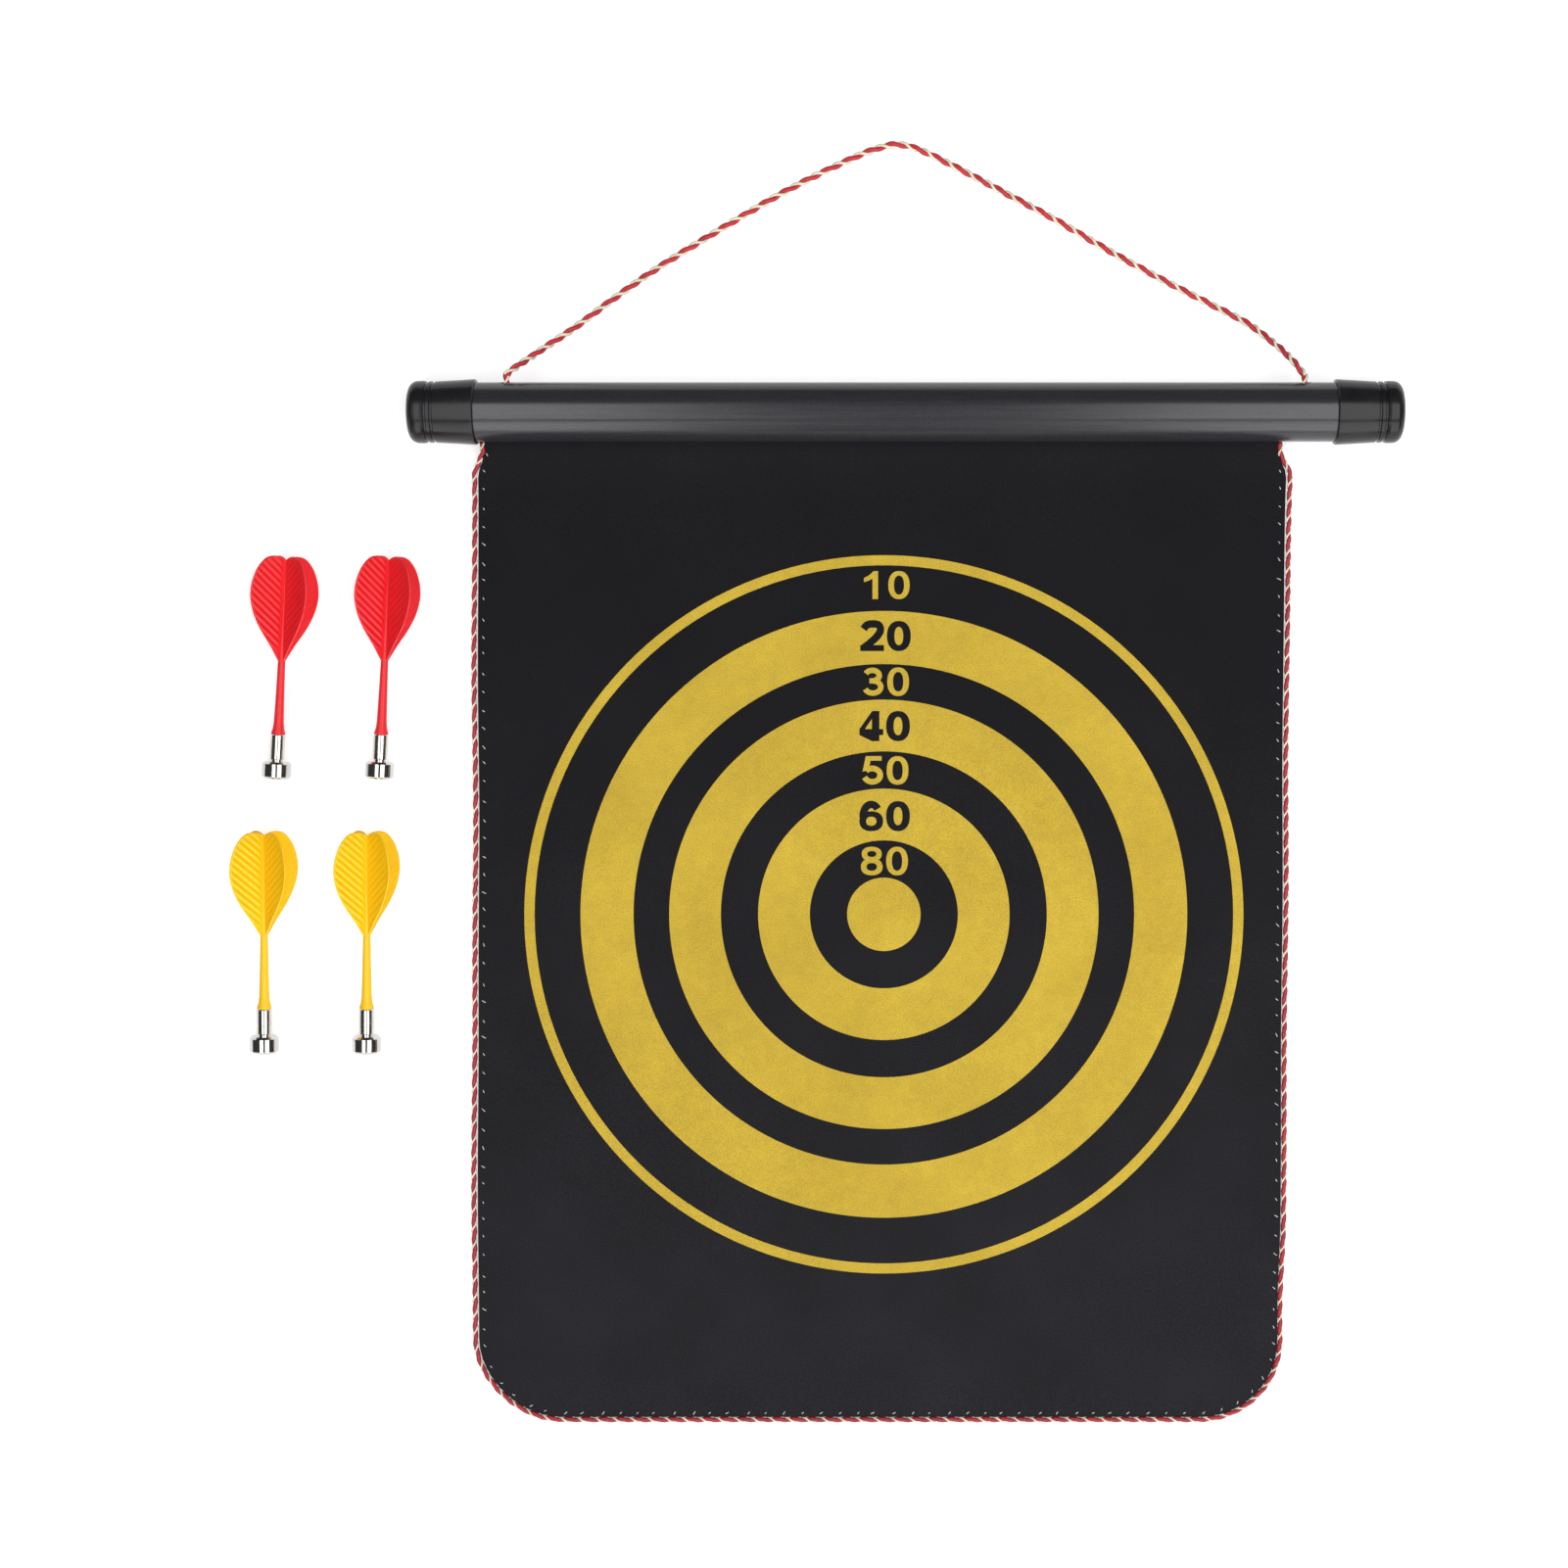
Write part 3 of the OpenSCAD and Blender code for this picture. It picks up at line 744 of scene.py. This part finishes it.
def make_hem():
    """The cloth folded round the rod: one strip that comes in at the slot, goes round and leaves again."""
    rod_low, rod_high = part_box("hem_rod")
    rod = np.array([(rod_low.y + rod_high.y) / 2, (rod_low.z + rod_high.z) / 2])
    rod_r = (rod_high.z - rod_low.z) / 2
    out = -np.array([math.cos(SLOT_ANGLE), math.sin(SLOT_ANGLE)])
    square = np.array([-out[1], out[0]])
    rod_from_axis = float((rod - (TUBE_Y, TUBE_Z)) @ out)
    round_r = rod_r + 0.08 * MM + HEM_HALF_T
    turn = np.radians(np.linspace(48, 180, 9))
    half = [(HEM_TAIL_OUT, HEM_LAYER_GAP), (HEM_TAIL_OUT - 0.9 * MM, HEM_LAYER_GAP),
            (rod_from_axis + round_r + 0.4 * MM, HEM_LAYER_GAP + 0.02 * MM)]
    half += [(rod_from_axis + round_r * math.cos(a), round_r * math.sin(a)) for a in turn]
    line = [(a, b, 0) for a, b in half] + [(a, -b, 0) for a, b in half[-2::-1]]
    line = resample(catmull(line, 6), 0.3 * MM)[0][:, :2]
    way = np.gradient(line, axis=0)
    way /= np.linalg.norm(way, axis=1)[:, None]
    normal = np.stack([-way[:, 1], way[:, 0]], -1)
    xs = np.linspace(CLOTH_LOW.x + 0.3 * MM, CLOTH_HIGH.x - 0.3 * MM, HEM_STEPS)
    inner_way = np.sign(((rod_from_axis, 0) - line[len(line) // 2]) @ normal[len(line) // 2])
    n = len(line)
    verts = []
    for layer in (1, -1):
        for x in xs:
            ripple = 0.03 * MM * np.sin(x * 190 + line[:, 1] * 900) if layer < 0 else np.zeros(n)
            section = line + normal * (inner_way * (layer * HEM_HALF_T + ripple))[:, None]
            place = np.array([TUBE_Y, TUBE_Z]) + section[:, :1] * out + section[:, 1:] * square
            verts.append(np.column_stack([np.full(n, x), place]))
    faces = []
    count = n * HEM_STEPS
    for i in range(HEM_STEPS - 1):
        for k in range(n - 1):
            p = i * n + k
            faces.append((p, p + n, p + n + 1, p + 1))
            faces.append((count + p, count + p + 1, count + p + n + 1, count + p + n))
    rim = ([(0, k) for k in range(n)] + [(i, n - 1) for i in range(1, HEM_STEPS)]
           + [(HEM_STEPS - 1, k) for k in range(n - 2, -1, -1)]
           + [(i, 0) for i in range(HEM_STEPS - 2, 0, -1)])
    ids = [i * n + k for i, k in rim]
    faces += [(p, q, count + q, count + p) for p, q in zip(ids, ids[1:] + ids[:1])]
    piece = make_mesh("mat_hem_folded", np.concatenate(verts), faces, [FLOCK])
    piece.data.set_sharp_from_angle(angle=math.radians(40))
    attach(piece, "hanging_tube")
    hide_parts("mat_hem")
    return piece


NUMBERS = [
    # text, its middle's distance above the bull and to the right, height
    ("10", 121.0, 1.0, 10.3), ("20", 102.3, 0.6, 11.1), ("30", 85.5, 0.6, 10.5), ("40", 69.2, 0.3, 11.1),
    ("50", 52.9, 0.4, 10.5), ("60", 36.1, 0.3, 11.1), ("80", 19.6, 0.2, 10.5),
]
GOLD_DIGIT = (0.76, 0.2)
BLACK_DIGIT = (0.79, 0.25)
RINGS = [(27.2, 46.2), (59.9, 78.9), (92.0, 111.5), (128.3, 132.0)]
BULL_R = 13.5


def make_print():
    """The gold rings and numbers, a thin layer that stands just proud of the cloth."""
    loops = [circle_loop(BULL_R * MM, 72)]
    for inner, outer in RINGS:
        loops += [circle_loop(inner * MM, 150), circle_loop(outer * MM, 220)]
    shapes = []
    for text, above, right, height in NUMBERS:
        on_gold = any(inner < above < outer for inner, outer in RINGS)
        width, thick = BLACK_DIGIT if on_gold else GOLD_DIGIT
        shapes += number_shapes(text, height * MM, np.array([right, above]) * MM, width, thick)
    piece = flat_piece("target_print_rings", loops, 4.5 * MM, MAT_TOP - 0.05 * MM, MAT_TOP + 0.06 * MM,
                       GOLD, shapes)
    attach(piece, "mat")
    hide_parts("target_print")
    return piece


def edge_route(out, height, top):
    """A line round the mat's edge, a set distance outside it, from the left top to the right top.

    Its two ends tuck in beside the slot, so that they clear the caps when the mat lifts."""
    outline = mat_loop(-out, top, 2 * MM)
    last = int(np.argmax((outline[:, 0] > MAT_CX) * 1e3 + outline[:, 1]))
    outline = outline[: last + 1]
    tuck = 0.95 * MM * ease((outline[:, 1] - BEND_END + 5.5 * MM) / (2.5 * MM))
    return mat_points(outline[:, 0] - np.sign(outline[:, 0] - MAT_CX) * tuck, outline[:, 1], height)


def make_edge_cord():
    """The two-ply cord that is sewn round the mat's edge."""
    top = BEND_END + START_FROM_SLOT - 0.9 * MM
    piece = twisted_cord(
        "edge_cord_twisted", edge_route(EDGE_R, EDGE_R + 0.12 * MM, top), 6.4 * MM,
        [(0.8 * MM, 0.22 * MM, 0.0, EDGE_YARN), (0.32 * MM, 0.7 * MM, math.pi, CREAM_YARN)],
        steps=14, sides=14)
    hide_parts("edge_cord")
    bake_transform(piece)
    return piece


STITCH_EVERY = 6.7 * MM
STITCH_IN = 1.5 * MM
STITCH_LENGTH = 1.25 * MM
STITCH_R = 0.17 * MM


def make_stitches():
    """Short slanting stitches just inside the edge, each an arch of thread whose ends dip into the cloth."""
    rng = random.Random(7)
    top = BEND_END - 2 * MM
    outline = mat_loop(STITCH_IN, top, 1 * MM)
    last = int(np.argmax((outline[:, 0] > MAT_CX) * 1e3 + outline[:, 1]))
    outline = outline[: last + 1]
    line, s = resample(np.column_stack([outline, np.zeros(len(outline))]), 1 * MM)
    verts, faces, uv, start = [], [], [], 0
    for at in np.arange(2 * MM, s[-1] - 2 * MM, STITCH_EVERY):
        at += rng.uniform(-0.9, 0.9) * MM
        here = np.array([np.interp(at, s, line[:, k]) for k in range(2)])
        ahead = np.array([np.interp(at + 1 * MM, s, line[:, k]) for k in range(2)])
        along = (ahead - here) / np.linalg.norm(ahead - here)
        inwards = np.array([-along[1], along[0]])
        slant = math.radians(38 + rng.uniform(-22, 22))
        way = along * math.cos(slant) + inwards * math.sin(slant)
        half = STITCH_LENGTH * rng.uniform(0.3, 0.6)
        steps = np.linspace(-1, 1, 9)
        flat = here + steps[:, None] * half * way
        height = MAT_TOP + (0.2 * np.sqrt(np.maximum(0, 1 - steps ** 2)) - 0.12) * MM
        centre = mat_points(flat[:, 0], flat[:, 1], height)
        v, f, q = tube_mesh(centre, STITCH_R * (1 - 0.25 * steps ** 4), 8, lobes=4, lobe_depth=0.1,
                            lobe_pitch=1.2 * MM, along=(steps + 1) * half)
        verts.append(v)
        faces += [tuple(i + start for i in face) for face in f]
        uv.append(q)
        start += len(v)
    piece = make_mesh("edge_stitches", np.concatenate(verts), faces, [THREAD], uv=np.concatenate(uv))
    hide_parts("edge_thread")
    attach(piece, "mat")
    return piece


make_cloth("back_cloth_flocked", "back_cloth", 0, CLOTH_T - 0.01 * MM)
make_cloth("front_cloth_flocked", "front_cloth", MAT_TOP - CLOTH_T, MAT_TOP)
make_hem()
make_print()
make_edge_cord()
make_stitches()


# ---------------------------------------------------------------- the darts

VANE_EDGE = [
    (1, 42.2), (2.3, 44.2), (5.4, 48.8), (9.6, 54.4), (12.6, 59.8), (14.1, 64.8),
    (14.3, 68.4), (13.6, 72.4), (11.7, 76.8), (8.6, 80.2), (5.2, 81.2), (2, 80.8), (0, 79.6),
]
VANE_ROLL = math.radians(45)
STEM_ENDS = [
    (13.8, 1.2), (16.2, 1.2), (16.2, 2.5), (16.4, 2.6), (16.7, 2.55), (18.4, 2.08), (20.6, 1.82),
    (27, 1.65), (34, 1.5), (43, 1.35), (50, 1), (56, 0.75), (70, 0.55), (78.6, 0.4), (79, 0.2),
]
RIB_SPACING = 2.1 * MM
RIB_SLOPE = math.radians(38)
RIB_HEIGHT = 0.37 * MM
FAINT_RIB_HEIGHT = 0.08 * MM
VANE_HALF = 0.26 * MM


def vane_mesh(across=56, along=150):
    """One vane's closed mesh as (u, v, height): u out from the dart's axis, v along it."""
    edge = catmull([(u, v, 0) for u, v in VANE_EDGE], 16)[:, :2] * MM
    edge = resample(np.column_stack([edge, np.zeros(len(edge))]), 0.1 * MM)[0][:, :2]
    pick = np.linspace(0, len(edge) - 1, along)
    outer = np.stack([np.interp(pick, np.arange(len(edge)), edge[:, k]) for k in range(2)], -1)
    share = np.linspace(0, 1, along)
    inner = np.column_stack([np.zeros(along), edge[0, 1] + (edge[-1, 1] - edge[0, 1]) * share])
    a = np.linspace(0, 1, across)[:, None, None]
    grid = inner[None] * (1 - a) + outer[None] * a
    u, v = grid[..., 0], grid[..., 1]
    q = (v * math.cos(RIB_SLOPE) - u * math.sin(RIB_SLOPE)) / RIB_SPACING
    rib = np.abs(np.cos(math.pi * q)) ** 2.4
    to_edge = np.broadcast_to(1 - a[..., 0], u.shape) * np.linalg.norm(outer - inner, axis=1)[None]
    fade = ease(to_edge / (1.1 * MM)) * ease((u - 1.2 * MM) / (1.2 * MM)) * ease((v - 45 * MM) / (5 * MM))
    rim = 0.1 * MM * np.exp(-((to_edge - 0.45 * MM) / (0.3 * MM)) ** 2)
    tip = np.sqrt(np.clip(to_edge / (0.35 * MM), 0, 1))
    plain = VANE_HALF * (1.15 - 0.35 * u / (14.3 * MM)) + rim
    front, back = ((plain + height * rib * fade) * (0.12 + 0.88 * tip)
                   for height in (FAINT_RIB_HEIGHT, RIB_HEIGHT))
    n = across * along
    top = np.stack([u, v, front], -1).reshape(-1, 3)
    bottom = np.stack([u, v, -back], -1).reshape(-1, 3)
    faces = []
    for i in range(across - 1):
        for k in range(along - 1):
            p = i * along + k
            faces.append((p, p + along, p + along + 1, p + 1))
            faces.append((n + p, n + p + 1, n + p + along + 1, n + p + along))
    rim_loop = ([(0, k) for k in range(along)] + [(i, along - 1) for i in range(1, across)]
                + [(across - 1, k) for k in range(along - 2, -1, -1)]
                + [(i, 0) for i in range(across - 2, 0, -1)])
    ids = [i * along + k for i, k in rim_loop]
    for p, q2 in zip(ids, ids[1:] + ids[:1]):
        faces.append((p, q2, n + q2, n + p))
    return np.concatenate([top, bottom]), faces


def turned(profile, sides=40):
    """A closed turned shape about +Z from (height, radius) pairs in millimetres."""
    a = np.linspace(0, 2 * math.pi, sides, endpoint=False)
    verts = [(r * MM * math.cos(t), r * MM * math.sin(t), z * MM) for z, r in profile for t in a]
    faces = []
    for i in range(len(profile) - 1):
        for k in range(sides):
            b = (k + 1) % sides
            faces.append((i * sides + k, i * sides + b, (i + 1) * sides + b, (i + 1) * sides + k))
    faces.append(tuple(range(sides - 1, -1, -1)))
    faces.append(tuple((len(profile) - 1) * sides + k for k in range(sides)))
    return np.array(verts), faces


def flight_mesh():
    """The moulding that is a dart's stem and four ribbed vanes, along +Z from the magnet's face."""
    verts, faces = turned(STEM_ENDS)
    parts, all_faces, start = [verts], list(faces), len(verts)
    flat, vane_faces = vane_mesh()
    for k in range(4):
        turn = VANE_ROLL + k * math.pi / 2
        out = np.array([math.cos(turn), math.sin(turn), 0])
        square = np.array([math.sin(turn), -math.cos(turn), 0])
        parts.append(flat[:, :1] * out + flat[:, 2:] * square + flat[:, 1:2] * np.array([0, 0, 1.0]))
        all_faces += [tuple(i + start for i in f) for f in vane_faces]
        start += len(flat)
    return np.concatenate(parts), all_faces


def dart_place(name):
    """Where a dart lies: its magnet's face, and axes with +Z along the dart and X level."""
    mount = MOUNTS[name + "_face"]
    along = -Vector(mount["axis"]).normalized()
    level = along.cross(Vector((0, 0, 1))).normalized()
    third = along.cross(level)
    return np.array([level, third, along]).T, np.array(mount["pos_m"])


FLIGHT_VERTS, FLIGHT_FACES = flight_mesh()


def make_flight(name, plastic):
    axes, tip = dart_place(name)
    piece = make_mesh(name + "_ribbed_flight", FLIGHT_VERTS @ axes.T + tip, FLIGHT_FACES, [plastic])
    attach(piece, name)
    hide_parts(name + "_flight")
    return piece


for number in (1, 2):
    make_flight(f"red_dart_{number}", RED_PLASTIC)
    make_flight(f"yellow_dart_{number}", YELLOW_PLASTIC)


# ---------------------------------------------------------------- finishes of the CAD parts that stay

def finish_part(node, material):
    thing = frame["nodes"][node]
    thing.data.materials.clear()
    thing.data.materials.append(material)


finish_part("tube", TUBE_PLASTIC)
finish_part("end_cap_left", CAP_PLASTIC)
finish_part("end_cap_right", CAP_PLASTIC)
finish_part("hem_rod", ROD_STEEL)
finish_part("magnetic_core", MAGNETIC_SHEET)
for dart in ("red_dart_1", "red_dart_2", "yellow_dart_1", "yellow_dart_2"):
    finish_part(dart + "_barrel", BARREL_NICKEL)
    finish_part(dart + "_magnet", MAGNET_NICKEL)


# ---------------------------------------------------------------- floor, light and world

def make_floor():
    size = 12.0
    floor = make_mesh("floor", [(-size, -size, 0), (size, -size, 0), (size, size, 0), (-size, size, 0)],
                      [(0, 1, 2, 3)], [floor_material()], smooth=False)
    floor.location.z = -0.02 * MM


def floor_material():
    m = Nodes("floor_paper", (0.6, 0.6, 0.6), 0.85, Specular_IOR_Level=0.1)
    tone = m.noise(m.place(), 3, 2)
    m.colour(m.mix(m.range(tone, 0.3, 0.7, 0, 1), (0.595, 0.595, 0.595), (0.61, 0.61, 0.61)))
    m.set("Emission Color", (1, 1, 1, 1))
    m.set("Emission Strength", 0.6)
    return m.material


def softbox(name, at, size, power, aim):
    light = bpy.data.lights.new(name, "AREA")
    light.shape = "RECTANGLE"
    light.size, light.size_y = size
    light.energy = power
    thing = bpy.data.objects.new(name, light)
    thing.location = at
    thing.rotation_euler = (Vector(aim) - Vector(at)).to_track_quat("-Z", "Y").to_euler()
    bpy.context.scene.collection.objects.link(thing)


make_floor()
LIGHT_HEIGHT = 1.15
LIGHT_STRENGTH = 10.6
OVERHEAD_Y = (-0.63, 0.72)
FRONT_Y = -1.3
FRONT_Z = (0.1, 1.58)
for side, low_x, high_x in (("left", -0.68, -0.18), ("right", 0.18, 1.1)):
    x, y, z = (low_x + high_x) / 2, sum(OVERHEAD_Y) / 2, sum(FRONT_Z) / 2
    wide, deep, tall = high_x - low_x, OVERHEAD_Y[1] - OVERHEAD_Y[0], FRONT_Z[1] - FRONT_Z[0]
    softbox(f"softbox_{side}", (x, y, LIGHT_HEIGHT), (wide, deep), LIGHT_STRENGTH * wide * deep, (x, y, 0))
    x *= 1.1
    softbox(f"softbox_front_{side}", (x, FRONT_Y, z), (wide, tall), LIGHT_STRENGTH * wide * tall, (x, 0, z))

world = bpy.data.worlds.new("studio")
world.use_nodes = True
world.node_tree.nodes["Background"].inputs["Color"].default_value = (1, 1, 1, 1)
world.node_tree.nodes["Background"].inputs["Strength"].default_value = 0.05
bpy.context.scene.world = world
bpy.context.scene.view_settings.view_transform = "Standard"
